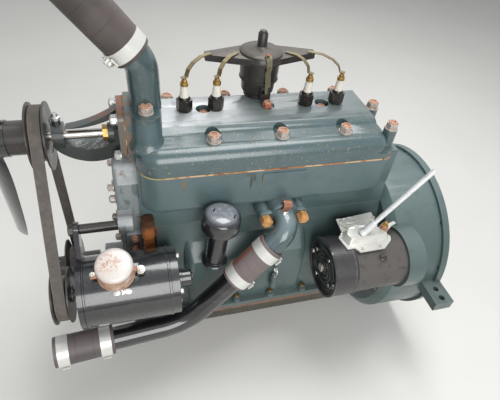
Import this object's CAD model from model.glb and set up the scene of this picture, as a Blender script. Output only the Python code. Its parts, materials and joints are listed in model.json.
# Looks of a vintage four-cylinder side-valve engine: enamel, rust, nuts and bolts, plugs and bands.
# Lengths are in millimetres in the engine's own frame, and MM turns them to metres.
import json
from math import cos, pi, radians, sin, sqrt
import bmesh
import bpy
from mathutils import Matrix, Vector

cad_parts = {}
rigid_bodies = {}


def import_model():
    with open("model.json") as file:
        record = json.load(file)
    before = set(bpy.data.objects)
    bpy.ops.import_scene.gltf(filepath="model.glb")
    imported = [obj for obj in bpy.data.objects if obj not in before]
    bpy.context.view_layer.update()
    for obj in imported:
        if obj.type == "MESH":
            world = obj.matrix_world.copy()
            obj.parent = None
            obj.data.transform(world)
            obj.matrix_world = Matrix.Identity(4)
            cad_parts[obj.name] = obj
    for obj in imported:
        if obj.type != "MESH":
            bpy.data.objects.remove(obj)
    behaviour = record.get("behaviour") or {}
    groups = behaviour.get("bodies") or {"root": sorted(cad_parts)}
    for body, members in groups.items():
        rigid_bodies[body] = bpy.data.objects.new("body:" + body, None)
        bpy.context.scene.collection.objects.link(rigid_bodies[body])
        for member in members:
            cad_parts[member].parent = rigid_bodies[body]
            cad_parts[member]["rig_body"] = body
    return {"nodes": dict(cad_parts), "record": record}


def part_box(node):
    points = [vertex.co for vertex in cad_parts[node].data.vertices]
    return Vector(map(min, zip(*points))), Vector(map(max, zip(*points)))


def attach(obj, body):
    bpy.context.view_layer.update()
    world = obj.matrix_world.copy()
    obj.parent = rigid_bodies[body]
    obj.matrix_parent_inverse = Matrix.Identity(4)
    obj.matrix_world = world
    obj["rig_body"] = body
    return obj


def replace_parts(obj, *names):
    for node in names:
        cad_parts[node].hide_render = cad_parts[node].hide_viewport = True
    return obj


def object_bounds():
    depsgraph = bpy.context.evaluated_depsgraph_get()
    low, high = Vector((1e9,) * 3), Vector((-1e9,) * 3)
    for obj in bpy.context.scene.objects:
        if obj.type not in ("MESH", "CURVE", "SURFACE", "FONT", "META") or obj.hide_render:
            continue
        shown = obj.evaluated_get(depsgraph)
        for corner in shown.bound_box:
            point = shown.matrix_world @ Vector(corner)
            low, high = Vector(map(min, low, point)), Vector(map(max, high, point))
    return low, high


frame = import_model()
cad_box = [list(corner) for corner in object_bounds()]

MM = 0.001
ORIGIN = Matrix.Identity(4)
UP, LEFT, FORWARD, BACK, RIGHT, DOWN = (0, 0, 1), (0, -1, 0), (-1, 0, 0), (1, 0, 0), (0, 1, 0), (0, 0, -1)

# Finish slot of each node, as the record has it, but for the two castings that share the head's paint and
# the bolt that was painted with the generator
SLOTS = {row["node"]: row["material_slot"] for row in frame["record"]["subparts"]}
SLOTS.update(water_outlet="head_enamel", water_inlet="head_enamel", pivot_bolt="black_enamel")

# Heights that the castings give: the deck, the head's foot and roof, and the seats of the nuts
DECK_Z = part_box("cylinder_block")[1].z / MM
HEAD_FOOT_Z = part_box("cylinder_head")[0].z / MM
HEAD_TOP_Z = HEAD_FOOT_Z + 63
STUD_SEAT_Z = HEAD_FOOT_Z + 46
ROOF_SEAT_Z = HEAD_FOOT_Z + 60
NECK_FOOT_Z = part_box("water_outlet")[0].z / MM
NECK_SEAT_Z = NECK_FOOT_Z + 8

# Studs and plugs of the head, as (x, y), bolts of the timing cover, as (y, z), and rows of the rail's bolts
LEFT_STUDS = [(x, -57) for x in (-516, -391, -266, -168)]
RIGHT_STUDS = [(x, 81) for x in (-580, -468, -346, -234)]
REAR_STUD = (-171, 20)
MIDDLE_STUDS = [(-521, 20, STUD_SEAT_Z), (-287, 20, STUD_SEAT_Z), (-399, 20, ROOF_SEAT_Z)]
PLUGS = [(x, 21) for x in (-555.5, -498, -322, -258)]
NECK_X = -626
NECK_STUDS = [(NECK_X, -44), (NECK_X, 16)]
TIMING_BOLTS = [(-44, 250), (-44, 222), (-44, 176), (-44, 120), (-84, -44), (90, 60), (88, 150), (52, 232),
                (86, -40)]
RAIL_ROWS = (-131, 131)
RAIL_TOP_Z = -28
PAN_FLANGE_Z = -58

# A point of the axis of the generator and of the starter, which run along X, and the foot of two others
GENERATOR = Vector((0, -159, 110))
GENERATOR_R = 62
STARTER = Vector((0, -172, 91))
DISTRIBUTOR = Vector((-407, 68, HEAD_TOP_Z))
FILLER = Vector((-520, -129, 110))
FILLER_LEAN = radians(4)
FILLER_UP = Vector((sin(FILLER_LEAN), 0, cos(FILLER_LEAN)))

# Hoses: a point of the line, where it aims, where its bands sit along it, their radius, and where their
# screws look
HOSES = (
    ((-626, -14, 470), (-689, -15, 550), (36, 164), 32.7, (-1, -0.6, -0.5)),
    ((-383, -147, 190), (-582, -175, -17), (60, 135), 29.5, (0.72, -0.2, -0.69)),
    ((-582, -175, -17), (-827, -200, -5), (161, 236), 29.5, (0, -0.3, -1)),
)


def linear(colour):
    """An sRGB hex colour as linear RGBA."""
    parts = [int(colour[i:i + 2], 16) / 255 for i in (1, 3, 5)]
    return (*[c / 12.92 if c <= 0.04045 else ((c + 0.055) / 1.055) ** 2.4 for c in parts], 1)


def feed(tree, made, links):
    """Gives each input of a node its value, or the socket that feeds it."""
    for key, value in links.items():
        if isinstance(value, bpy.types.NodeSocket):
            tree.links.new(value, made.inputs[key])
        else:
            made.inputs[key].default_value = value


def node(tree, kind, links, **settings):
    """Adds a shader node with its inputs and settings."""
    made = tree.nodes.new(kind)
    for name, value in settings.items():
        setattr(made, name, value)
    feed(tree, made, links)
    return made


def vector(tree, operation, a, b):
    """Outputs of a sum of two vectors: the vector is at 0, a number at Value."""
    return node(tree, "ShaderNodeVectorMath", {0: a, 1: b}, operation=operation).outputs


# Masks. Each returns a function of (tree, point) that gives a factor from 0 to share.
def ramp(measure, start, end, share):
    """0 where the measure is at start and share where it is at end, smooth between."""
    def mask(tree, point):
        return node(tree, "ShaderNodeMapRange",
                    {"Value": measure(tree, point), "From Min": start, "From Max": end, "To Max": share},
                    interpolation_type="SMOOTHSTEP").outputs[0]
    return mask


def patches(size, low, high, seed=0.0, stretch=(1, 1, 1), detail=4.0, share=1.0):
    """Irregular patches about size mm across; low and high are the noise values where they begin and fill."""
    def noise(tree, point):
        where = vector(tree, "MULTIPLY", point, stretch)[0]
        return node(tree, "ShaderNodeTexNoise",
                    {"Vector": where, "W": seed, "Scale": 1 / (size * MM), "Detail": detail},
                    noise_dimensions="4D").outputs[0]
    return ramp(noise, low, high, share)


def grain(size, seed, detail=4.0):
    """Even mottle about size mm across."""
    return patches(size, 0.3, 0.7, seed=seed, detail=detail)


def facing(direction, low, high, share=1.0):
    """Surfaces whose normal leans towards direction."""
    def lean(tree, point):
        normal = node(tree, "ShaderNodeNewGeometry", {}).outputs["Normal"]
        return vector(tree, "DOT_PRODUCT", normal, direction)["Value"]
    return ramp(lean, low, high, share)


def beyond(direction, start, end, share=1.0):
    """Fades in along a direction, from start mm to end mm."""
    def reach(tree, point):
        return vector(tree, "DOT_PRODUCT", point, direction)["Value"]
    return ramp(reach, start * MM, end * MM, share)


def near(centre, full, gone, stretch=(1, 1, 1), share=1.0):
    """A stain: full inside one radius and gone outside another, longer where stretch is below 1."""
    def distance(tree, point):
        where = vector(tree, "MULTIPLY", point, stretch)[0]
        middle = tuple(c * s * MM for c, s in zip(centre, stretch))
        return vector(tree, "DISTANCE", where, middle)["Value"]
    return ramp(distance, gone * MM, full * MM, share)


def both(*masks, share=1.0):
    """Where all the masks are, times share."""
    def mask(tree, point):
        result = share
        for each in masks:
            result = node(tree, "ShaderNodeMath", {0: each(tree, point), 1: result},
                          operation="MULTIPLY").outputs[0]
        return result
    return mask


def seams(direction, pitch, width, start=0.0):
    """Thin lines across a direction, one every pitch mm."""
    def part(tree, point):
        reach = vector(tree, "DOT_PRODUCT", point, direction)["Value"]
        turns = node(tree, "ShaderNodeMath", {0: reach, 1: 2 / (pitch * MM), 2: start},
                     operation="MULTIPLY_ADD").outputs[0]
        return node(tree, "ShaderNodeMath", {0: turns, 1: 1.0}, operation="PINGPONG").outputs[0]
    return ramp(part, width / pitch, 0.0, 1.0)


RUST_ROUGHNESS = 0.85
CLEAR_IOR = 1.6             # the coat over the paint, which mirrors the lamps
UNDER_CLEAR = 0.3           # specular level that the paint keeps below that coat


def rust(mask, colour):
    """A coat of rust, which also takes a metal's shine away."""
    return mask, colour, RUST_ROUGHNESS


def finish(name, colour, roughness, metallic=0.0, coats=(), dull=(), bumps=(), clear=0.0, clear_rough=0.12):
    """A material. Coats, in order, are (mask, colour) or rust; dull is (mask, roughness).

    Bumps are (mask, mm), inwards below 0. Mix nodes have numbers at 2 and 3, and colours at 6 and 7.
    """
    made = bpy.data.materials.new(name)
    made.use_nodes = True
    tree = made.node_tree
    shader = tree.nodes["Principled BSDF"]
    point = node(tree, "ShaderNodeTexCoord", {}).outputs["Object"]
    shade = linear(colour)
    rough = roughness
    metal = metallic
    for mask, coat, *rusty in coats:
        cover = mask(tree, point)
        shade = node(tree, "ShaderNodeMix", {0: cover, 6: shade, 7: linear(coat)},
                     data_type="RGBA").outputs[2]
        if rusty:
            rough = node(tree, "ShaderNodeMix", {0: cover, 2: rough, 3: rusty[0]}).outputs[0]
            if metallic:
                metal = node(tree, "ShaderNodeMix", {0: cover, 2: metal, 3: 0.0}).outputs[0]
    for mask, value in dull:
        rough = node(tree, "ShaderNodeMix", {0: mask(tree, point), 2: rough, 3: value}).outputs[0]
    normal = {}
    for mask, height in bumps:
        links = {"Height": mask(tree, point), "Distance": abs(height) * MM, "Strength": 1.0, **normal}
        normal = {"Normal": node(tree, "ShaderNodeBump", links, invert=height < 0).outputs[0]}
    feed(tree, shader, {"Base Color": shade, "Roughness": rough, "Metallic": metal, **normal})
    if clear:
        feed(tree, shader, {"Specular IOR Level": UNDER_CLEAR, "Coat Weight": clear,
                            "Coat Roughness": clear_rough, "Coat IOR": CLEAR_IOR})
    return made


# What several finishes share: dust, specks, stains, the relief of cast iron, and parts of the surface
DUST = facing(UP, 0.55, 0.97)
SPECKS = patches(4, 0.655, 0.69, seed=3, detail=2)
FINE_SPECKS = patches(2.6, 0.67, 0.70, seed=8, detail=1)
BLOTCHES = patches(30, 0.52, 0.66, seed=5)
CLOUDS = patches(120, 0.35, 0.65, seed=1)
CAST_SKIN = grain(3.5, 2, detail=3)
ORANGE_PEEL = grain(7, 6, detail=1)
ROOF_AND_BELOW = beyond(DOWN, -372, -366)
PUMP_FLANGE = beyond(BACK, -676, -664)
BRUSH_BAND = beyond(FORWARD, 256, 257)
RELAY_SIDE = beyond((0, 0.33, -0.945), -272, -268)
RELAY_TOP = (-708, -196, 228)

# Oil that ran down the block's left wall: centre, radius of the full stain and of its end, stretch, share
OIL_RUNS = (
    ((-451, -91, 272), 2.4, 5.4, (1.6, 0.5, 0.28), 0.8, "#2a3022"),
    ((-445, -91, 281), 2, 4.6, (1.4, 0.5, 0.42), 0.75, "#2f3426"),
    ((-453, -91, 290), 3, 9, (0.6, 0.5, 1.2), 0.55, "#3a4131"),
    ((-430, -91, 274), 2, 5, (1, 0.5, 0.25), 0.4, "#6e6c45"),
)

# Engine enamel on cast iron: a brushed teal coat that keeps the sand skin and a gloss, under the dust
head_enamel = finish(
    "head_enamel", "#41585d", 0.36,
    coats=[
        (both(CLOUDS, share=0.35), "#4f6365"),
        (both(facing(UP, 0.4, 0.9), beyond(UP, 353, 361), ROOF_AND_BELOW, share=0.65), "#757d7c"),
        (both(facing(UP, 0.9, 0.99), beyond(FORWARD, 405, 490), beyond(UP, 356, 361), ROOF_AND_BELOW,
              share=0.9), "#c8ccce"),
        (both(facing(UP, 0.8, 0.99), beyond(FORWARD, 615, 640), ROOF_AND_BELOW, share=0.7), "#8f8780"),
        (both(BLOTCHES, share=0.35), "#384c50"),
        rust(both(SPECKS, beyond(DOWN, -362, -352), share=0.8), "#ab9058"),
        rust(both(FINE_SPECKS, beyond(DOWN, -362, -352), share=0.8), "#b08a50"),
        rust(both(beyond(FORWARD, 648, 654), patches(12, 0.42, 0.56, seed=17), share=0.75), "#7e6148"),
    ],
    dull=[(BLOTCHES, 0.46), (SPECKS, 0.9)],
    bumps=[(ORANGE_PEEL, 0.08), (CAST_SKIN, 0.06)], clear=0.85, clear_rough=0.22)
outlet_enamel = finish(
    "outlet_enamel", "#33484c", 0.36,
    coats=[
        (both(CLOUDS, share=0.4), "#4d6062"),
        (patches(16, 0.5, 0.64, seed=18, stretch=(1, 1, 0.5), share=0.45), "#5f6f6c"),
        (patches(9, 0.6, 0.68, seed=19, share=0.5), "#6f7355"),
        (both(BLOTCHES, share=0.3), "#33454a"),
        (both(facing(UP, 0.35, 0.95), beyond(DOWN, -300, -290), share=0.5), "#8a9da3"),
    ],
    dull=[(BLOTCHES, 0.46)],
    bumps=[(ORANGE_PEEL, 0.12), (CAST_SKIN, 0.08)], clear=0.9, clear_rough=0.16)
block_enamel = finish(
    "block_enamel", "#54686b", 0.4,
    coats=[
        (both(CLOUDS, share=0.4), "#62757a"),
        (patches(45, 0.5, 0.64, seed=13, share=0.4), "#57675f"),
        (beyond(DOWN, -215, -150, share=0.6), "#42544f"),
        (both(DUST, share=0.3), "#76837f"),
        (both(BLOTCHES, share=0.35), "#445659"),
        (both(beyond(DOWN, -60, 0), patches(26, 0.4, 0.62, seed=14), share=0.55), "#464c49"),
        (both(beyond(FORWARD, 652, 662), patches(10, 0.3, 0.5, seed=10, stretch=(1, 1, 0.4)),
              share=0.85), "#9aa3a8"),
        *[(near(centre, full, gone, stretch, share=share), colour)
          for centre, full, gone, stretch, share, colour in OIL_RUNS],
        rust(near((-573, -91, 280), 1.4, 4, (1, 0.5, 0.3), share=0.8), "#8f6432"),
        rust(both(SPECKS, patches(60, 0.45, 0.6, seed=12), share=0.5), "#86683f"),
        rust(both(near((-652, -62, 150), 16, 48), patches(14, 0.4, 0.6, seed=15), share=0.9), "#6a3f22"),
        rust(both(beyond(DOWN, 44, 52), beyond(FORWARD, 138, 144), patches(12, 0.38, 0.55, seed=16),
                  share=0.8), "#7b5236"),
    ],
    dull=[(DUST, 0.55), (BLOTCHES, 0.52), (SPECKS, 0.9)],
    bumps=[(ORANGE_PEEL, 0.1), (CAST_SKIN, 0.1)], clear=0.55, clear_rough=0.3)

# Silver paint on the timing cover: chalky above, worn through to dark iron lower down
cover_enamel = finish(
    "cover_enamel", "#8f9696", 0.5,
    coats=[
        (both(CLOUDS, share=0.4), "#757e80"),
        (patches(18, 0.5, 0.6, seed=26, stretch=(1, 1, 0.5), share=0.7), "#4c5a5c"),
        (beyond(DOWN, -165, -110, share=0.85), "#36423f"),
        (facing(UP, 0.3, 0.9, share=0.8), "#c4c7ca"),
        rust(patches(16, 0.60, 0.68, seed=21, share=0.7), "#7a5a3c"),
    ],
    dull=[(DUST, 0.6), (BLOTCHES, 0.6)],
    bumps=[(CAST_SKIN, 0.25), (patches(9, 0.4, 0.65, seed=27), 0.3)], clear=0.4, clear_rough=0.3)

# Black-green paint of the pump's casting: half gloss, with rust where it meets the joint
pump_enamel = finish(
    "pump_enamel", "#2a302e", 0.46,
    coats=[
        (both(CLOUDS, share=0.5), "#393f3c"),
        (both(DUST, share=0.35), "#7c8181"),
        (both(facing(UP, 0.8, 0.97), patches(6, 0.48, 0.6, seed=188), beyond(DOWN, -345, -335),
              share=0.7), "#a9adac"),
        (beyond(BACK, -674, -671, share=0.6), "#7d756b"),
        rust(both(PUMP_FLANGE, patches(9, 0.54, 0.64, seed=28, stretch=(1, 1, 0.3)), share=0.5), "#8a6248"),
        rust(both(facing(UP, 0.7, 0.95), beyond(UP, 362, 372), patches(10, 0.4, 0.55, seed=29),
                  share=0.8), "#8d5230"),
    ],
    dull=[(DUST, 0.55)],
    bumps=[(CAST_SKIN, 0.2)], clear=0.5, clear_rough=0.22)

# Joint paper that has taken the rust of its faces: dry, tan and brown
joint_rust = finish(
    "rusted_joint_paper", "#8f6546", 0.85,
    coats=[(patches(7, 0.45, 0.6, seed=22), "#57402f"), (patches(11, 0.52, 0.62, seed=23), "#b89a72")],
    bumps=[(grain(2, 24), 0.2)])

# Black stoving enamel: deep gloss over pitted steel, greyed by dust where it faces up
gloss_black = finish(
    "gloss_black_enamel", "#131316", 0.3,
    coats=[
        (both(CLOUDS, share=0.35), "#1c1d20"),
        (both(DUST, share=0.15), "#4a4c51"),
        (patches(9, 0.62, 0.68, seed=31, share=0.5), "#3c3b3a"),
        rust(patches(4, 0.68, 0.71, seed=33, share=0.6), "#6f4a33"),
    ],
    dull=[(patches(9, 0.62, 0.68, seed=31), 0.6)],
    bumps=[(patches(6, 0.35, 0.7, seed=34), 0.14), (patches(14, 0.56, 0.6, seed=35, detail=2), 0.25)],
    clear=1.0, clear_rough=0.12)

# The same enamel on pulleys and pressings, worn to a satin brown-black
satin_black = finish(
    "satin_black_enamel", "#2b2826", 0.45,
    coats=[
        (both(CLOUDS, share=0.5), "#38342f"),
        (both(DUST, share=0.4), "#57534e"),
        (both(BLOTCHES, share=0.5), "#171615"),
        rust(patches(14, 0.62, 0.69, seed=36, share=0.6), "#54392a"),
    ],
    dull=[(DUST, 0.55), (BLOTCHES, 0.32)],
    bumps=[(grain(4, 37), 0.12)], clear=0.45, clear_rough=0.22)

# The filler cap's enamel: deep and wet at the side, chalky on the top where dust lies
cap_black = finish(
    "dusty_black_cap_enamel", "#17171a", 0.32,
    coats=[
        (facing(FILLER_UP, 0.72, 0.97, share=0.75), "#8c9199"),
        (both(facing(FILLER_UP, 0.86, 0.95), patches(9, 0.5, 0.66, seed=182), share=0.5), "#a9adb5"),
        (patches(4, 0.66, 0.70, seed=181, share=0.5), "#3c3b3a"),
    ],
    bumps=[(patches(6, 0.35, 0.7, seed=183), 0.08)], clear=1.0, clear_rough=0.12)

# Brushed paint of the starter: brown and dull on its drum, black and smooth on the brush band
starter_black = finish(
    "worn_black_starter_paint", "#3b3735", 0.5,
    coats=[
        (both(CLOUDS, share=0.5), "#45403d"),
        (facing((0, -0.6, 0.8), 0.5, 0.95, share=0.5), "#64605d"),
        (patches(16, 0.55, 0.66, seed=184, share=0.45), "#2c2a29"),
        (both(BRUSH_BAND, share=0.7), "#26252a"),
        rust(patches(14, 0.64, 0.70, seed=185, share=0.5), "#5d4536"),
    ],
    dull=[(BRUSH_BAND, 0.34)],
    bumps=[(grain(4, 186), 0.12), (patches(1.6, 0.4, 0.7, seed=187), 0.08)],
    clear=0.4, clear_rough=0.24)

# The unlit inside of an open slot
slot_dark = finish(
    "dark_open_slot", "#0b0b0c", 0.9,
    coats=[(patches(3, 0.45, 0.6, seed=130, share=0.5), "#161514")])

# Thick enamel on drawn pipe, smooth enough to mirror the lamps as long streaks
pipe_black = finish(
    "glossy_black_pipe_enamel", "#141416", 0.3,
    coats=[
        (both(CLOUDS, share=0.5), "#222225"),
        (patches(20, 0.56, 0.66, seed=38, stretch=(0.6, 1, 1), share=0.5), "#3a3836"),
        rust(patches(5, 0.66, 0.70, seed=30, share=0.6), "#6b4f3c"),
    ],
    bumps=[(grain(5, 39), 0.06)], clear=1.0, clear_rough=0.09)

# Copper and asbestos sandwich of the head gasket, squeezed out and stained along its edge
gasket_copper = finish(
    "stained_gasket_copper", "#b0774c", 0.75, metallic=0.1,
    coats=[
        (patches(11, 0.45, 0.52, seed=41, stretch=(0.5, 1, 1)), "#d3b48f"),
        (patches(14, 0.57, 0.64, seed=42, stretch=(0.4, 1, 1)), "#8e4b2a"),
        (beyond(FORWARD, 570, 630, share=0.75), "#a2a468"),
        (patches(30, 0.62, 0.68, seed=43), "#4a4136"),
    ],
    bumps=[(grain(3, 44), 0.3)])

# Pressed steel that oil has browned: dark, half wet, with a line of rust under the rail
oily_steel = finish(
    "oil_browned_sheet_steel", "#2e2c1d", 0.34,
    coats=[
        (both(CLOUDS, share=0.5), "#403c26"),
        (patches(25, 0.5, 0.62, seed=46, share=0.7), "#211f16"),
        rust(both(beyond(UP, -60, -56), patches(14, 0.35, 0.5, seed=49, stretch=(0.4, 1, 1)),
                  share=0.9), "#8a5d40"),
        (patches(3, 0.66, 0.70, seed=45, share=0.7), "#8b8463"),
        rust(patches(9, 0.6, 0.68, seed=47, share=0.6), "#54391f"),
    ],
    dull=[(patches(25, 0.5, 0.62, seed=46), 0.22)],
    bumps=[(grain(8, 48), 0.25)], clear=0.5, clear_rough=0.2)

# Bare fastener steel: grey on the flats, and rust of four ages, from dusty orange to tan, red and flaking
nut_faces = finish(
    "grey_fastener_steel", "#b9b2ab", 0.45, metallic=0.4,
    coats=[
        (both(DUST, share=0.4), "#c8bdb3"),
        rust(patches(6, 0.52, 0.62, seed=51, share=0.7), "#a47c62"),
        rust(patches(3, 0.6, 0.66, seed=52, share=0.8), "#7d5238"),
    ],
    bumps=[(grain(1.8, 53), 0.12)])
orange_rust = finish(
    "orange_rust_on_steel", "#ad7a5c", 0.8, metallic=0.1,
    coats=[
        (patches(5, 0.42, 0.58, seed=55), "#c59d84"),
        (patches(3, 0.54, 0.62, seed=56), "#7e4a33"),
        (both(DUST, share=0.25), "#d8bba8"),
    ],
    bumps=[(grain(1.8, 57), 0.2)])
tan_rust = finish(
    "tan_rust_on_steel", "#b98650", 0.6, metallic=0.2,
    coats=[
        (patches(9, 0.45, 0.6, seed=54), "#d6a066"),
        (patches(3, 0.58, 0.66, seed=50), "#9a6233"),
        (facing(LEFT, 0.9, 0.99, share=0.4), "#dcae7c"),
    ],
    bumps=[(grain(2.5, 57), 0.15)])
red_rust = finish(
    "red_rust_on_steel", "#a3644f", 0.8, metallic=0.1,
    coats=[
        (patches(5, 0.45, 0.6, seed=155), "#c07c62"),
        (patches(3, 0.56, 0.64, seed=156), "#733a2b"),
    ],
    bumps=[(grain(1.8, 157), 0.2)])
rusty_plug = finish(
    "flaking_rusty_iron", "#9a5a28", 0.85,
    coats=[
        (patches(8, 0.45, 0.58, seed=158), "#a5693a"),
        (beyond(UP, 168, 186, share=0.85), "#2f1d14"),
        (patches(4, 0.58, 0.64, seed=159), "#4a2a1a"),
    ],
    bumps=[(grain(3, 160), 0.5)])

# Cast iron that heat has scaled: dry and brown-grey, with no gloss left
manifold_iron = finish(
    "scaled_manifold_iron", "#4f4640", 0.8, metallic=0.1,
    coats=[
        (CLOUDS, "#5f4f43"),
        (patches(18, 0.48, 0.6, seed=58), "#6f4c34"),
        (patches(6, 0.58, 0.66, seed=59), "#352d28"),
        (both(DUST, share=0.4), "#82776c"),
    ],
    bumps=[(grain(3, 60), 0.3)])

# Steel fresh from the lathe, bright across the fine rings that the tool left
turned_steel = finish(
    "turned_steel", "#c3bdb6", 0.28, metallic=1.0,
    coats=[
        rust(patches(10, 0.6, 0.68, seed=61, share=0.5), "#8d6f58"),
        (both(CLOUDS, share=0.3), "#a9a39c"),
    ],
    bumps=[(seams(BACK, 1.4, 0.7), 0.02)])

# Zinc and tin plate: pale and soft, with brown freckles where the plate has gone
zinc = finish(
    "dulled_zinc_plate", "#c4c5c4", 0.36, metallic=0.8,
    coats=[
        (patches(6, 0.5, 0.62, seed=63, share=0.5), "#96948f"),
        rust(patches(3.5, 0.62, 0.68, seed=64, share=0.7), "#8b6a4b"),
    ],
    bumps=[(grain(2, 65), 0.05)])
tin_can = finish(
    "rust_freckled_tin_plate", "#dbd4ce", 0.4, metallic=0.15,
    coats=[
        (both(CLOUDS, share=0.3), "#d6cbc1"),
        rust(both(RELAY_SIDE, patches(26, 0.25, 0.5, seed=66), share=0.85), "#ad8466"),
        rust(both(near(RELAY_TOP, 8, 24), patches(9, 0.45, 0.6, seed=62), share=0.5), "#cfa591"),
        rust(both(near(RELAY_TOP, 12, 27), patches(3, 0.54, 0.60, seed=67), share=0.65), "#bb8069"),
        rust(both(RELAY_SIDE, patches(9, 0.5, 0.62, seed=68), share=0.7), "#96684a"),
    ],
    dull=[(patches(12, 0.48, 0.62, seed=66), 0.55)],
    bumps=[(patches(2.5, 0.4, 0.7, seed=69), 0.06)], clear=0.3)
pressed_silver = finish(
    "cadmium_plated_pressing", "#d3d3cd", 0.34, metallic=0.3,
    coats=[
        (patches(16, 0.5, 0.66, seed=71, share=0.35), "#c3beb3"),
        rust(patches(4, 0.63, 0.68, seed=72, share=0.7), "#94714f"),
    ],
    bumps=[
        (grain(14, 73), 0.12),
        (both(beyond(RIGHT, -148, -142), beyond(FORWARD, 205, 215), patches(8, 0.35, 0.65, seed=74)), 1.5),
    ])
white_rod = finish(
    "pale_plated_rod", "#e4e6e6", 0.35, metallic=0.3,
    coats=[(patches(9, 0.55, 0.64, seed=171, share=0.4), "#aeb0ae")], clear=0.3)

# Yellow metals: brass and copper dulled to brown, and springy strip gone olive
brass = finish(
    "tarnished_brass", "#ab8b50", 0.38, metallic=0.85,
    coats=[
        (patches(5, 0.48, 0.62, seed=75, share=0.6), "#6f5a36"),
        (patches(2.5, 0.6, 0.66, seed=76, share=0.6), "#cdb98a"),
    ],
    bumps=[(grain(2, 77), 0.05)])
bronze_strap = finish(
    "olive_bronze_strip", "#7c6f4e", 0.5, metallic=0.6,
    coats=[(patches(8, 0.48, 0.6, seed=78, share=0.6), "#4f4935"), (both(DUST, share=0.3), "#a1977a")])
spring_strip = finish(
    "dulled_spring_strip", "#a39d82", 0.42, metallic=0.4,
    coats=[(patches(10, 0.5, 0.64, seed=180, share=0.5), "#6f6a52")])
copper = finish(
    "brown_copper", "#cc9479", 0.5, metallic=0.3,
    coats=[(patches(5, 0.54, 0.66, seed=79, share=0.5), "#8a5a44"), (both(DUST, share=0.4), "#dcb39f")])

# Bright strip and plated screws of the hose bands: soft, broad shine with a few rust freckles
band_metal = finish(
    "brushed_clamp_strip", "#d9d9d4", 0.34, metallic=0.3,
    coats=[
        (patches(26, 0.5, 0.66, seed=81, share=0.35), "#cdcfc8"),
        rust(patches(4, 0.66, 0.70, seed=82, share=0.6), "#9a8468"),
        rust(near((-640, -43, 482), 3, 7, share=0.8), "#a0614a"),
    ],
    bumps=[(grain(12, 84), 0.1)], clear=0.3)
bright_screw = finish("bright_screw_steel", "#d6d2cb", 0.28, metallic=0.9,
                      coats=[rust(patches(2.5, 0.56, 0.64, seed=85, share=0.7), "#8f6a4e")])


# Rubber on cloth: the wrap shows as thin lines across each hose, and dust greys the top
def hose_rubber(name, colour, across, pitch, seed, stripe=None):
    """Rubber of one hose, wrapped across its line; stripe is a coat of its own."""
    wrap = seams(across, pitch, 0.9, seed)
    return finish(
        name, colour, 0.6,
        coats=[
            (patches(50, 0.4, 0.62, seed=seed, share=0.35), "#6c605c"),
            (facing(UP, 0.3, 0.95, share=0.4), "#94888a"),
            *([stripe] if stripe else []),
            (both(wrap, share=0.5), "#3f3735"),
        ],
        bumps=[(wrap, -0.35), (grain(3, seed + 1), 0.08)], clear=0.15, clear_rough=0.35)


upper_rubber = hose_rubber("upper_hose_rubber", "#46413f", (-0.66, 0.12, 0.74), 38, 86)
inlet_rubber = hose_rubber(
    "inlet_hose_rubber", "#756a69", (-0.60, 0.30, -0.74), 17, 87,
    stripe=(facing((-0.66, 0.28, 0.69), 0.93, 0.97, share=0.75), "#8d5442"))
lower_rubber = hose_rubber("lower_hose_rubber", "#575152", (-0.99, -0.1, 0.05), 31, 88)

# Rubber and canvas belt: dull, with its pale cords frayed out along the front edge
belt_rubber = finish(
    "frayed_belt_rubber", "#55504b", 0.7,
    coats=[
        (patches(12, 0.45, 0.62, seed=91, share=0.5), "#6a635c"),
        (beyond(FORWARD, 804.5, 806, share=0.7), "#857766"),
        (patches(4, 0.6, 0.66, seed=92, share=0.5), "#3a3632"),
    ],
    bumps=[(grain(3, 93), 0.15)])

# Moulded phenolic resin of the distributor: dull with age, dusty on its ledges
phenolic = finish(
    "aged_black_phenolic", "#242120", 0.4,
    coats=[
        (both(DUST, share=0.55), "#6e665c"),
        (patches(10, 0.5, 0.64, seed=95, share=0.4), "#3b3632"),
    ],
    dull=[(DUST, 0.6)],
    bumps=[(grain(3, 96), 0.06)], clear=0.35, clear_rough=0.25)

# The plugs: glazed porcelain, white and wet, and the blued steel of the shells under a little rust
porcelain = finish(
    "glazed_porcelain", "#e9e4d8", 0.18,
    coats=[
        (patches(9, 0.52, 0.66, seed=97, share=0.4), "#c3b294"),
        (patches(2.5, 0.64, 0.69, seed=98, share=0.6), "#6b5947"),
    ], clear=0.5)
blued_steel = finish(
    "blued_plug_steel", "#2a2826", 0.36, metallic=0.6,
    coats=[
        rust(patches(5, 0.57, 0.65, seed=99, share=0.5), "#54402f"),
        (both(DUST, share=0.3), "#6b655e"),
    ],
    bumps=[(grain(2, 100), 0.06)], clear=0.3)


# Shapes are made upright at the origin, and then stood in their places
def shift(x, y, z):
    """A move in a shape's own frame."""
    return Matrix.Translation((x, y, z))


def twist(degrees, axis="Z"):
    """A turn in a shape's own frame."""
    return Matrix.Rotation(radians(degrees), 4, axis)


def stand(at, up=UP, turn=0.0):
    """The place of an upright shape: its foot at a point, its axis along up, turned about it in degrees."""
    return shift(*at) @ Vector(up).to_track_quat("Z", "Y").to_matrix().to_4x4() @ twist(turn)


def axes(at, x_way, z_way):
    """The place of a shape whose Z runs along z_way, and whose X leans to x_way as far as that allows."""
    z = Vector(z_way).normalized()
    y = z.cross(Vector(x_way)).normalized()
    return shift(*at) @ Matrix((y.cross(z), y, z)).transposed().to_4x4()


def along(axis, x, way=BACK):
    """The place of an upright shape on an axis that runs along X."""
    return axes((x, axis.y, axis.z), UP, way)


def spot(axis, x, radius, angle):
    """A point round an axis that runs along X; angle is from the right, upwards."""
    return Vector((x, axis.y + radius * cos(radians(angle)), axis.z + radius * sin(radians(angle))))


def round_axis(axis, x, radius, angle):
    """The place of an upright shape that stands out from a drum whose axis runs along X."""
    return axes(spot(axis, x, radius, angle), BACK, (0, cos(radians(angle)), sin(radians(angle))))


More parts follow.
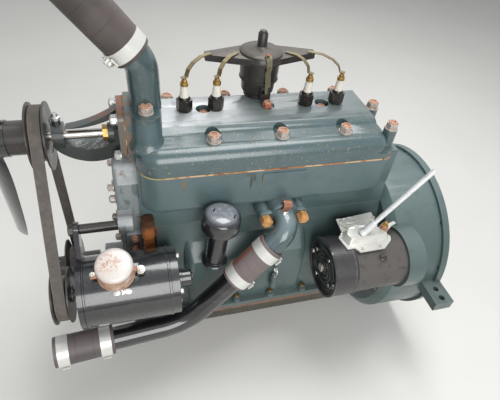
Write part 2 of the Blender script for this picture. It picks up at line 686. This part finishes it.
def put(bm, part, *places):
    """Copies a shape into bm at each place, and frees it."""
    mesh = bpy.data.meshes.new("copy")
    part.to_mesh(mesh)
    part.free()
    for place in places:
        copy = mesh.copy()
        copy.transform(place)
        bm.from_mesh(copy)
        bpy.data.meshes.remove(copy)
    bpy.data.meshes.remove(mesh)
    return bm


def placed(part, *places):
    """A new shape with a copy of part at each place."""
    return put(bmesh.new(), part, *places)


def turned(*profile, steps=32):
    """A body turned about Z from its outline of (radius, height) points."""
    bm = bmesh.new()
    line = [bm.verts.new((r, 0, z)) for r, z in profile]
    edges = [bm.edges.new(pair) for pair in zip(line, line[1:])]
    bmesh.ops.spin(bm, geom=line + edges, cent=(0, 0, 0), axis=UP, angle=2 * pi, steps=steps, use_merge=True)
    bmesh.ops.remove_doubles(bm, verts=bm.verts, dist=0.001)
    return bm


def hoop(inner, outer, width, lip=0.4, steps=64):
    """A ring with its rims turned off."""
    return turned((inner, 0), (outer - lip, 0), (outer, lip), (outer, width - lip), (outer - lip, width),
                  (inner, width), (inner, 0), steps=steps)


def plate(outline, thick, edge=0.0):
    """A flat plate with an outline of (x, y) points, and its upper rim rounded by edge."""
    bm = bmesh.new()
    face = bm.faces.new([bm.verts.new((x, y, 0)) for x, y in outline])
    grown = bmesh.ops.extrude_face_region(bm, geom=[face])["geom"]
    top = [v for v in grown if isinstance(v, bmesh.types.BMVert)]
    bmesh.ops.translate(bm, vec=(0, 0, thick), verts=top)
    if edge:
        rim = [e for e in bm.edges if all(v.co.z > thick / 2 for v in e.verts)]
        bmesh.ops.bevel(bm, geom=rim, offset=edge, segments=2, profile=0.5, affect="EDGES", material=-1)
    return bm


def corner(x, y, radius, first):
    """Points of a quarter circle about (x, y), from the angle first on."""
    turns = [radians(first + a) for a in range(0, 91, 9)]
    return [(x + radius * cos(turn), y + radius * sin(turn)) for turn in turns]


def rounded(length, width, radius):
    """Outline of a rectangle with round corners, length along X."""
    points = []
    for x, y, first in ((1, 1, 0), (-1, 1, 90), (-1, -1, 180), (1, -1, 270)):
        points += corner(x * (length / 2 - radius), y * (width / 2 - radius), radius, first)
    return points


def bar(length, width, height, edge=0.0):
    """A block with its foot at the origin."""
    x, y = length / 2, width / 2
    return plate(((-x, -y), (x, -y), (x, y), (-x, y)), height, edge)


def strip(path, width, thick):
    """A bent strip that follows (x, z) points, width across Y."""
    bm = bmesh.new()
    rows = [[bm.verts.new((x, y, z)) for y in (-width / 2, width / 2)] for x, z in path]
    for a, b in zip(rows, rows[1:]):
        bm.faces.new((a[0], b[0], b[1], a[1]))
    bmesh.ops.solidify(bm, geom=bm.faces[:], thickness=thick)
    return bm


def hexagon(flats, height, foot=0.0):
    """A hexagon head with its corners turned off."""
    bm = bmesh.new()
    reach = flats / sqrt(3)
    bmesh.ops.create_cone(bm, cap_ends=True, segments=6, radius1=reach, radius2=reach, depth=height,
                          matrix=shift(0, 0, foot + height / 2))
    rim = [e for e in bm.edges if all(v.co.z > foot + height / 2 for v in e.verts)]
    bmesh.ops.bevel(bm, geom=rim, offset=0.08 * flats, segments=2, profile=0.7, affect="EDGES", material=-1)
    return bm


def disc(radius, thick, edge=0.0, steps=32):
    """A flat disc, its upper rim turned off by edge."""
    rim = [(radius, thick - edge), (radius - edge, thick)] if edge else [(radius, thick)]
    return turned((0, 0), (radius, 0), *rim, (0, thick), steps=steps)


WASHER = 2.0        # its thickness
CROWN = 1.8         # height of the turned top of a nut


def nut(flats, height, washer=0.0):
    """The flats of a nut, over a washer if it has one; the crown goes on top."""
    bm = hexagon(flats, height, WASHER if washer else 0.0)
    if washer:
        put(bm, turned((0, 0), (washer, 0), (washer, WASHER - 0.5), (washer - 0.6, WASHER), (0, WASHER),
                       steps=24), ORIGIN)
    return bm


def crown(flats, thread, foot, above):
    """Crown of a nut and the end of its stud, which stands above the crown or, below 0, sinks in it."""
    rim, top = 0.45 * flats, foot + CROWN
    return turned((0, foot - 1), (rim, foot - 1), (rim, top - 0.7), (rim - 1, top), (thread, top),
                  (thread, top + above - 0.8), (thread - 0.8, top + above), (0, top + above), steps=24)


def screw(radius, height, slot=1.6):
    """A round-headed screw with a slot across."""
    foot = 0.45 * height
    bm = disc(radius, foot, steps=24)
    dome = 0.96 * radius
    for side in (-1, 1):
        half = [(dome * cos(a * pi / 10), side * max(dome * sin(a * pi / 10), slot / 2)) for a in range(11)]
        put(bm, plate(half, height - foot, 0.3 * height), shift(0, 0, foot))
    return bm


def add(name, data, place):
    """Puts a camera, a lamp or a mesh in the scene."""
    made = bpy.data.objects.new(name, data)
    made.matrix_world = place
    bpy.context.scene.collection.objects.link(made)
    return made


SHARP = radians(35)     # edges that turn more than this stay sharp, or take the bevel


def piece(name, bm, look, slot, body="engine", bevel=0.0):
    """Finishes a shape in millimetres as a piece that rides on a body."""
    bmesh.ops.recalc_face_normals(bm, faces=bm.faces)
    bmesh.ops.scale(bm, vec=(MM, MM, MM), verts=bm.verts)
    mesh = bpy.data.meshes.new(name)
    bm.to_mesh(mesh)
    bm.free()
    mesh.shade_smooth()
    mesh.set_sharp_from_angle(angle=SHARP)
    mesh.materials.append(look)
    made = add(name, mesh, ORIGIN)
    if bevel:
        edge = made.modifiers.new("edge", "BEVEL")
        edge.width = bevel * MM
        edge.segments = 2
        edge.limit_method = "ANGLE"
        edge.angle_limit = SHARP
        edge.harden_normals = True
    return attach(made, body)


# Finish of each node, and how far its edges are rounded: 0 keeps the node itself
DRESS = {
    "cylinder_block": (block_enamel, 1.6),
    "cylinder_head": (head_enamel, 2.2),
    "timing_gear_cover": (cover_enamel, 1.5),
    "timing_side_cover": (cover_enamel, 0.0),
    "oil_pan": (oily_steel, 1.5),
    "flywheel_housing": (block_enamel, 1.5),
    "crankshaft": (turned_steel, 0.0),
    "crank_pulley": (satin_black, 0.8),
    "fan_pulley": (satin_black, 0.8),
    "generator_pulley": (satin_black, 0.8),
    "fan_belt": (belt_rubber, 1.0),
    "starting_ratchet": (satin_black, 0.8),
    "flywheel": (turned_steel, 0.0),
    "clutch_cover": (satin_black, 1.2),
    "fan_blades": (gloss_black, 0.0),
    "pump_shaft": (turned_steel, 0.0),
    "water_pump_body": (pump_enamel, 1.6),
    "packing_nut": (brass, 0.8),
    "water_outlet": (outlet_enamel, 1.6),
    "upper_hose": (upper_rubber, 1.5),
    "inlet_hose": (inlet_rubber, 1.5),
    "lower_hose": (lower_rubber, 1.5),
    "hose_clamps": (band_metal, 0.0),
    "water_inlet": (outlet_enamel, 1.6),
    "lower_pipe": (pipe_black, 0.0),
    "generator_body": (gloss_black, 1.0),
    "generator_front": (gloss_black, 1.4),
    "pivot_bolt": (satin_black, 0.8),
    "starter_body": (starter_black, 1.0),
    "starter_switch": (pressed_silver, 1.2),
    "starter_rod": (white_rod, 0.0),
    "distributor_body": (phenolic, 1.0),
    "distributor_cap": (phenolic, 1.2),
    "plug_straps": (bronze_strap, 0.0),
    "oil_filler_tube": (gloss_black, 1.0),
    "oil_filler_cap": (cap_black, 1.5),
    "dipstick": (zinc, 0.0),
    "side_plug": (rusty_plug, 1.0),
    "valve_chamber_cover": (satin_black, 1.4),
    "exhaust_manifold": (manifold_iron, 1.6),
    "intake_manifold": (manifold_iron, 1.6),
    "carburettor": (zinc, 1.2),
}
for name, (look, bevel) in DRESS.items():
    solid = frame["nodes"][name]
    if not bevel:
        solid.data.materials.clear()
        solid.data.materials.append(look)
        continue
    bm = bmesh.new()
    bm.from_mesh(solid.data)
    bmesh.ops.remove_doubles(bm, verts=bm.verts, dist=0.01 * MM)
    bmesh.ops.dissolve_limit(bm, angle_limit=radians(1), verts=bm.verts, edges=bm.edges)
    bmesh.ops.scale(bm, vec=(1 / MM, 1 / MM, 1 / MM), verts=bm.verts)
    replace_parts(piece(name + "_form", bm, look, SLOTS[name], solid["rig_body"], bevel), name)

# Gasket, squeezed out a little past the deck all round: centre, radius and first angle of its corners
SQUEEZE = 0.9
DECK_CORNERS = ((-610, -51, 40, 180), (-186, -65, 26, 270), (-186, 70, 26, 0), (-610, 56, 40, 90))
outline = []
for x, y, radius, first in DECK_CORNERS:
    outline += corner(x, y, radius + SQUEEZE, first)
gasket = placed(plate(outline, 2.6, 0.5), shift(0, 0, DECK_Z - 0.3))
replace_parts(piece("gasket_plate", gasket, gasket_copper, "gasket_copper"), "head_gasket")

# Spark plugs: blued shell with its hexagon, glazed insulator, and a stepped brass terminal
PLUG_PLACES = [stand((x, y, HEAD_TOP_Z), turn=12 + i * 17) for i, (x, y) in enumerate(PLUGS)]
shells = placed(hexagon(25.3, 20, 2), *PLUG_PLACES)
put(shells, turned((0, 0), (13, 0), (13, 1.4), (12.3, 2), (0, 2)), *PLUG_PLACES)
put(shells, turned((0, 21), (10.6, 21), (10.6, 24.5), (9, 27), (0, 27)), *PLUG_PLACES)
insulators = placed(turned((0, 26), (8.4, 26), (8.2, 31), (7.4, 33), (7.3, 41), (6.8, 43), (6.6, 47.6),
                           (5.6, 48.4), (0, 48.4)), *PLUG_PLACES)
terminals = placed(turned((0, 48), (7.2, 48), (7.2, 53), (6.4, 54), (5, 54.2), (5, 57.6), (4.2, 58.4),
                          (3.4, 58.6), (3.4, 61), (2.6, 62), (0, 62)), *PLUG_PLACES)
for name, bm, look, slot in (
    ("plug_shells", shells, blued_steel, "plug_steel"),
    ("plug_insulators", insulators, porcelain, "porcelain"),
    ("plug_terminals", terminals, brass, "brass"),
):
    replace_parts(piece(name, bm, look, slot), "spark_plugs")

# Cut-out relay on the generator's back: drawn can, on a strap foot with a terminal at each end
RELAY_LEAN = radians(19)
RELAY_UP = Vector((0, -sin(RELAY_LEAN), cos(RELAY_LEAN)))
RELAY_X = -701
RELAY_SEAT = GENERATOR_R + 2
TERMINALS = ((40, 12.5, 11), (-37, 18, 8))      # x, height and size of the nuts
relay = axes(GENERATOR + Vector((RELAY_X, 0, 0)) + RELAY_UP * RELAY_SEAT, BACK, RELAY_UP)
can = placed(turned((0, 12), (30.8, 12), (31.2, 13), (30.8, 14.4), (30, 15), (30, 49), (29, 53), (26.5, 55.2),
                    (22, 56), (0, 56.6), steps=64), relay)
foot = placed(bar(74, 34, 3, 1), relay)
put(foot, bar(58, 34, 9.2, 2), relay @ shift(0, 0, 3))
put(foot, bar(12, 12, 8, 1.5), relay @ shift(39, 0, 3))
leads = placed(strip(((27, 24), (33, 24), (36, 14), (43, 12.5)), 8, 1.2), relay)
put(leads, bar(13, 9, 6, 1), relay @ shift(-34, 0, 12))
screws = bmesh.new()
for x, z, flats in TERMINALS:
    put(screws, nut(flats, 5), relay @ shift(x, 0, z))
    put(screws, disc(2.6, 8.6, 0.6), relay @ shift(x, 0, z))
put(screws, disc(7.5, 1.2), relay @ shift(40, 0, 13.4))
for name, bm, look, slot in (
    ("relay_can", can, tin_can, "tin_plate"),
    ("relay_foot", foot, gloss_black, "black_enamel"),
    ("relay_leads", leads, copper, "brass"),
    ("relay_screws", screws, bright_screw, "machined_steel"),
):
    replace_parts(piece(name, bm, look, slot), "cutout_relay")

# Bent lug and its screw on the generator, in front of the relay
LUG = ((16, -2), (13, -6), (7, -6), (4, -4), (-4, -4), (-8, -6), (-14, -5), (-16, 0), (-13, 5), (-6, 4),
       (4, 4), (12, 4))
LUG_THICK = 2
lug_place = round_axis(GENERATOR, -694, GENERATOR_R + 1.6, 134)
piece("relay_lug", placed(plate(LUG, LUG_THICK, 0.6), lug_place), zinc, "tin_plate")
lug_screw = placed(screw(5.2, 4), lug_place @ shift(0, 0, LUG_THICK) @ twist(90))
piece("relay_lug_screw", lug_screw, bright_screw, "machined_steel")

# Generator: rolled seams of the shell, its long bolts, and the gland at the rear
seam_rings = bmesh.new()
for x, width in ((-759, 4.0), (-616, 5.0)):
    put(seam_rings, hoop(GENERATOR_R, GENERATOR_R + 2.6, width, 0.8), along(GENERATOR, x))
piece("generator_seams", seam_rings, gloss_black, "black_enamel")
long_bolts = placed(screw(5.5, 6),
                    *[axes(spot(GENERATOR, -597, 47, a), UP, BACK) for a in (156, 345, 66, 246)])
piece("generator_long_bolts", long_bolts, bright_screw, "machined_steel")
rear_cap = placed(hoop(15.5, 18.2, 5, steps=40), along(GENERATOR, -594))
put(rear_cap, turned((0, 0), (8, 0), (8, 2), (6.5, 3.2), (0, 3.2), steps=24), along(GENERATOR, -571))
piece("generator_rear_cap", rear_cap, gloss_black, "black_enamel")

# Starter: pressed rings of the end plate, rims of the brush band, and screws
end_rings = bmesh.new()
for inner, outer in ((21, 24), (30, 32.5), (45, 47.5), (54, 57)):
    put(end_rings, hoop(inner, outer, 2.2, 0.8), along(STARTER, -296.8, FORWARD))
piece("starter_end_rings", end_rings, gloss_black, "black_enamel")
rims = placed(hoop(60.5, 62.9, 3.5), along(STARTER, -301.2), along(STARTER, -253))
piece("starter_band_rims", rims, gloss_black, "black_enamel")

# Screws of the end plate: x, angle and distance from the axis, radius of the head, and turn of the slot
END_SCREWS = (
    (-298, 20, 40, 4.2, 65.9),
    (-298, 110, 40, 4.2, 182.5),
    (-298, 200, 40, 4.2, 299.2),
    (-298, 290, 40, 4.2, 55.8),
    (-297, 178, 52, 5.2, 118.6),
    (-297, 352, 52, 5.2, 8.1),
)
end_screws = bmesh.new()
for x, angle, distance, head, slot_turn in END_SCREWS:
    slot_way = (0, sin(radians(slot_turn)), cos(radians(slot_turn)))
    put(end_screws, screw(head, 4), axes(spot(STARTER, x, distance, angle), slot_way, FORWARD))
put(end_screws, turned((0, 0), (9, 0), (9, 3), (7.5, 4.5), (3, 4.5), (0, 3.6)), along(STARTER, -302, FORWARD))
piece("starter_end_screws", end_screws, bright_screw, "machined_steel")
pole_screws = placed(screw(8, 3.4, 2.4), *[round_axis(STARTER, -194, 59.8, a) for a in (126, 216, 306)])
piece("starter_pole_screws", pole_screws, satin_black, "black_enamel")

# Starter switch: rivets of its flange, the lug under its terminal nut, and a collar round the rod's foot
FLANGE_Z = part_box("starter_switch")[0].z / MM + 3
RIVETS = ((-237, -191), (-197, -190), (-173, -112), (-249, -112))
rivets = placed(turned((0, 0), (3.4, 0), (3, 1.4), (0, 2), steps=20),
                *[stand((x, y, FLANGE_Z)) for x, y in RIVETS])
piece("switch_rivets", rivets, nut_faces, "bare_iron")
TERMINAL = (-177, -157)
TERMINAL_LUG_Z = FLANGE_Z + 13.4
TERMINAL_LUG = ((-8, -7), (6, -8), (20, -4), (34, -3.5), (34, 3.5), (20, 4), (6, 8), (-8, 7))
TERMINAL_LUG_THICK = 2.4
lug = placed(plate(TERMINAL_LUG, TERMINAL_LUG_THICK, 0.8),
             axes((*TERMINAL, TERMINAL_LUG_Z), (1, 0.35, 0), UP))
piece("switch_lug", lug, pressed_silver, "tin_plate")
ROD_FOOT = (-226, -164, 176.5)
ROD_WAY = (97, -1, 146.5)
collar = turned((0, -7), (8.5, -7), (8.5, -2), (7, 3), (5.4, 6), (0, 6), steps=24)
piece("rod_collar", placed(collar, axes(ROD_FOOT, BACK, ROD_WAY)), white_rod, "tin_plate")

# Distributor: seam between its halves, spring clip with a rivet, and the rolled rim of the cap
SEAM_HEIGHT, RIM_HEIGHT, CLIP_TOP = 35, 73, 93
CLIP_WAY = Vector((0.13, -1, 0))
seam = placed(hoop(34, 37.2, 2.2), stand(DISTRIBUTOR + Vector((0, 0, SEAM_HEIGHT))))
piece("distributor_seam", seam, phenolic, "black_enamel")
clip = placed(strip(((38.4, 18), (38.4, 60), (43.4, 70), (43.4, 85), (41.5, 90), (33, CLIP_TOP)), 11, 1.4),
              axes(DISTRIBUTOR + Vector((6, 0, 0)), CLIP_WAY, (-0.1, 0, 1)))
piece("distributor_clip", clip, spring_strip, "brass")
clip_rivet = placed(turned((0, 0), (4, 0), (3.6, 1.8), (0, 2.6), steps=20),
                    stand(DISTRIBUTOR + CLIP_WAY.normalized() * 35 + Vector((-3.3, 0, CLIP_TOP))))
piece("distributor_clip_rivet", clip_rivet, red_rust, "bare_iron")
rim = placed(hoop(38, 42.8, 6, 1.6), stand(DISTRIBUTOR + Vector((0, 0, RIM_HEIGHT))))
piece("distributor_cap_rim", rim, phenolic, SLOTS["distributor_cap"])

# Oil filler: two stamped slots in the cap, and the rolled foot of the tube
FILLER_LENGTH = 120
cap = axes(FILLER + FILLER_UP * FILLER_LENGTH, BACK, FILLER_UP)
slots = placed(bar(8, 2.2, 1.2), cap @ shift(-14.4, 5.5, 12.3) @ twist(60),
               cap @ shift(19.6, -12.7, 11.4) @ twist(60))
piece("filler_cap_slots", slots, slot_dark, "black_enamel")
rolled_foot = placed(hoop(18.8, 25.5, 5, 2), axes(FILLER, BACK, FILLER_UP))
piece("filler_foot", rolled_foot, gloss_black, "black_enamel")

# Bands of the hoses: two ears, a tongue under them and a cross screw on each
ears, cross_screws = bmesh.new(), bmesh.new()
for start, aim, places, radius, look_way in HOSES:
    way = (Vector(aim) - Vector(start)).normalized()
    for d in places:
        seat = axes(Vector(start) + way * d, look_way, way)
        for side in (-1, 1):
            put(ears, bar(9, 2.4, 16, 0.7), seat @ shift(radius + 3.6, side * 5, -8))
        put(ears, bar(2.2, 34, 14, 0.6), seat @ shift(radius + 0.4, 0, -7))
        across = seat @ shift(radius + 4, -9, 0) @ twist(-90, "X")
        put(cross_screws, disc(2.5, 19, steps=16), across)
        put(cross_screws, screw(4.6, 3.6), across @ shift(0, 0, 18))
        put(cross_screws, hexagon(8, 4), across @ shift(0, 0, -1))
piece("band_ears", ears, band_metal, "band_aluminium")
piece("band_screws", cross_screws, bright_screw, "machined_steel")

# Copper clip with its bolt on the water elbow, and the grease cap of the pump
clip_foot = axes((-385, -113, 214), LEFT, (0.1, -0.45, 0.9))
ELBOW_CLIP = ((-12, 10), (-13, 17), (-9, 23), (-2, 24), (3, 19), (4, 6), (8, 2.4), (20, 2))
piece("elbow_clip", placed(strip(ELBOW_CLIP, 17, 1.8), clip_foot), copper, "brass")
clip_bolt = placed(hexagon(12, 5, 3), clip_foot @ shift(13, 0, 0))
piece("elbow_clip_bolt", clip_bolt, bright_screw, "machined_steel")
grease_cap = placed(turned((0, 0), (8, 0), (8, 4), (5, 6), (4, 11), (0, 12)), stand((-768.75, 0, 370)))
piece("pump_grease_cap", grease_cap, zinc, "tin_plate")

# Joint papers that show as a rusty line round the pump's flange and under the water outlet
PUMP_REAR_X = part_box("water_pump_body")[1].x / MM
pump_paper = placed(plate(rounded(NECK_FOOT_Z - HEAD_FOOT_Z - 3.6, 79.4, 14.7), 2),
                    axes((PUMP_REAR_X - 2.2, 0, (HEAD_FOOT_Z + 5 + NECK_FOOT_Z) / 2), UP, BACK))
piece("pump_joint", pump_paper, joint_rust, "gasket_copper")
PAPER_WIDTH = 33.6
low, high = [y for x, y in NECK_STUDS]
neck_paper = placed(plate(rounded(PAPER_WIDTH, high - low + PAPER_WIDTH, PAPER_WIDTH / 2), 1.8),
                    stand((NECK_X, (low + high) / 2, NECK_FOOT_Z - 0.6)))
piece("outlet_joint", neck_paper, gasket_copper, "gasket_copper")

# Nuts and bolts of each joint. Sizes: across the flats, height, thread radius, how far the stud stands above
# the crown, and radius of the washer. Then the looks of the flats and of the crown, the slot and the places.
# A nut's turn comes from its place, so that no two stand quite alike
EXHAUST_END = Vector((-178, 174, 150))
EXHAUST_WAY = Vector((0, -0.1895, 0.9819))
FASTENERS = {
    "head_nuts": ((20, 11, 5, -1.2, 13), nut_faces, orange_rust, "bare_iron", [
        stand((x, y, STUD_SEAT_Z), turn=x) for x, y in LEFT_STUDS + RIGHT_STUDS + [REAR_STUD]]),
    "middle_head_nuts": ((16.5, 10, 5, -1.5, 0), red_rust, orange_rust, "bare_iron", [
        stand((x, y, z), turn=x) for x, y, z in MIDDLE_STUDS]),
    "outlet_nuts": ((20, 10, 5, -1.2, 12), nut_faces, orange_rust, "bare_iron", [
        stand((x, y, NECK_SEAT_Z), turn=20) for x, y in NECK_STUDS]),
    "inlet_bolts": ((20, 14, 7.5, 0.4, 0), tan_rust, tan_rust, "bare_iron", [
        stand((-384 + side * 37, -116, 197), LEFT, 20 * side) for side in (-1, 1)]),
    "side_cover_bolts": ((11, 5, 3, -0.4, 7), copper, copper, "bare_iron", [
        stand((-666, -64, z), LEFT, z) for z in (44, 72, 104, 132)]),
    "pump_bolts": ((16, 8, 5, 0.6, 10), zinc, nut_faces, "tin_plate", [
        stand((-672, y, z), FORWARD, z) for y in (-27, 27) for z in (308, 379)]),
    "timing_cover_bolts": ((13, 7, 4, 0.6, 8), nut_faces, nut_faces, "bare_iron", [
        stand((-692, y, z), FORWARD, z) for y, z in TIMING_BOLTS]),
    "rail_bolts": ((12, 5, 3.4, -0.8, 0), block_enamel, brass, "block_enamel", [
        stand((x, y, RAIL_TOP_Z), turn=x) for y in RAIL_ROWS for x in range(-620, -160, 78)]),
    "pan_bolts": ((13, 5, 4, 0.6, 0), oily_steel, oily_steel, "oily_pan", [
        stand((x, y, PAN_FLANGE_Z), DOWN, x) for y in RAIL_ROWS for x in range(-655, -150, 52)]),
    "clutch_bolts": ((13, 5, 4, 0.6, 0), nut_faces, nut_faces, "bare_iron", [
        stand((-78, 140 * cos(radians(a)), 140 * sin(radians(a))), BACK, a) for a in range(0, 360, 60)]),
    "valve_cover_nuts": ((16, 8, 5, 4, 11), nut_faces, orange_rust, "bare_iron", [
        stand((x, 106, 166), RIGHT, x) for x in (-520, -268)]),
    "switch_nut": ((14, 6, 4.2, 6, 9), orange_rust, brass, "brass", [
        stand((*TERMINAL, TERMINAL_LUG_Z + TERMINAL_LUG_THICK))]),
    "carburettor_nuts": ((12, 6, 3.6, 2, 8), brass, brass, "brass", [
        stand((-407 + side * 33, 144, 159), DOWN) for side in (-1, 1)]),
    "exhaust_flange_nuts": ((14, 7, 4.4, 3, 0), nut_faces, orange_rust, "bare_iron", [
        stand(EXHAUST_END + EXHAUST_WAY * 12 + Vector((x, 0, 0)), EXHAUST_WAY) for x in (-30, 30)]),
}
BODIES = {"clutch_bolts": "crankshaft"}     # the other fasteners are on the engine
for name, (sizes, look, end_look, slot, places) in FASTENERS.items():
    flats, height, thread, stud, washer = sizes
    foot = height + (WASHER if washer else 0.0)
    body = BODIES.get(name, "engine")
    piece(name, placed(nut(flats, height, washer), *places), look, slot, body)
    piece(name + "_crowns", placed(crown(flats, thread, foot, stud), *places), end_look, slot, body)

# Drain plug of the pan
piece("drain_plug", placed(nut(24, 9, 16), stand((-300, 0, -166), DOWN)), oily_steel, "oily_pan")

# Camera at the photograph's place, in metres, and its turn from three angles in radians
CAMERA_PLACE = (-0.655, -0.653, 0.776)
YAW, PITCH, ROLL = 0.352, 0.742, 0.134
ahead = Vector((sin(YAW) * cos(PITCH), cos(YAW) * cos(PITCH), -sin(PITCH)))
level = Vector((cos(YAW), -sin(YAW), 0))
over = level.cross(ahead)
camera_right = level * cos(ROLL) + over * sin(ROLL)
camera_up = over * cos(ROLL) - level * sin(ROLL)
lens = bpy.data.cameras.new("camera")
lens.lens = 30.84
lens.sensor_width = 36
camera_turn = Matrix((camera_right, camera_up, -ahead)).transposed().to_4x4()
bpy.context.scene.camera = add("camera", lens, shift(*CAMERA_PLACE) @ camera_turn)

# Soft lamps: one overhead that the head's shoulder mirrors, one behind for the roof, and the main one at the
# camera's back. Each has its place, aim and size in metres, and its power in watts
for name, place, aim, size, power in (
    ("top_lamp", (-0.04, 0.2, 2.34), (-0.42, -0.05, 0.3), 1.25, 34),
    ("rear_lamp", (0.2, 1.62, 1.86), (-0.45, -0.05, 0.3), 0.9, 12),
    ("front_lamp", (-0.42, -2.15, 1.12), (-0.5, -0.1, 0.1), 1.5, 37),
):
    lamp = bpy.data.lights.new(name, "AREA")
    lamp.size = size
    lamp.energy = power
    way = Vector(aim) - Vector(place)
    add(name, lamp, shift(*place) @ way.to_track_quat("-Z", "Y").to_matrix().to_4x4())

# A pale room, which fills the shadows gently and shows brighter to the camera, in metal and in glass
room = bpy.data.worlds.new("room")
bpy.context.scene.world = room
room.use_nodes = True
sky = room.node_tree
sky.nodes.clear()
path = node(sky, "ShaderNodeLightPath", {})
seen = path.outputs["Is Camera Ray"]
for ray in ("Is Glossy Ray", "Is Transmission Ray"):
    seen = node(sky, "ShaderNodeMath", {0: seen, 1: path.outputs[ray]}, operation="MAXIMUM").outputs[0]
FILL, BACKDROP = 0.3, 0.9
strength = node(sky, "ShaderNodeMapRange", {"Value": seen, "To Min": FILL, "To Max": BACKDROP}).outputs[0]
shade = node(sky, "ShaderNodeBackground", {"Color": linear("#eef0f1"), "Strength": strength}).outputs[0]
node(sky, "ShaderNodeOutputWorld", {"Surface": shade})

# Pale floor just under the lowest piece
pale = finish("pale_floor", "#e6e5e1", 0.8, coats=[(grain(400, 120), "#eae9e5")])
FLOOR_REACH = 6
ground = bmesh.new()
bmesh.ops.create_grid(ground, x_segments=1, y_segments=1, size=FLOOR_REACH,
                      matrix=shift(0, 0, cad_box[0][2] - MM))
floor_mesh = bpy.data.meshes.new("floor")
ground.to_mesh(floor_mesh)
ground.free()
floor_mesh.materials.append(pale)
add("floor", floor_mesh, ORIGIN)

bpy.context.scene.view_settings.view_transform = "Standard"
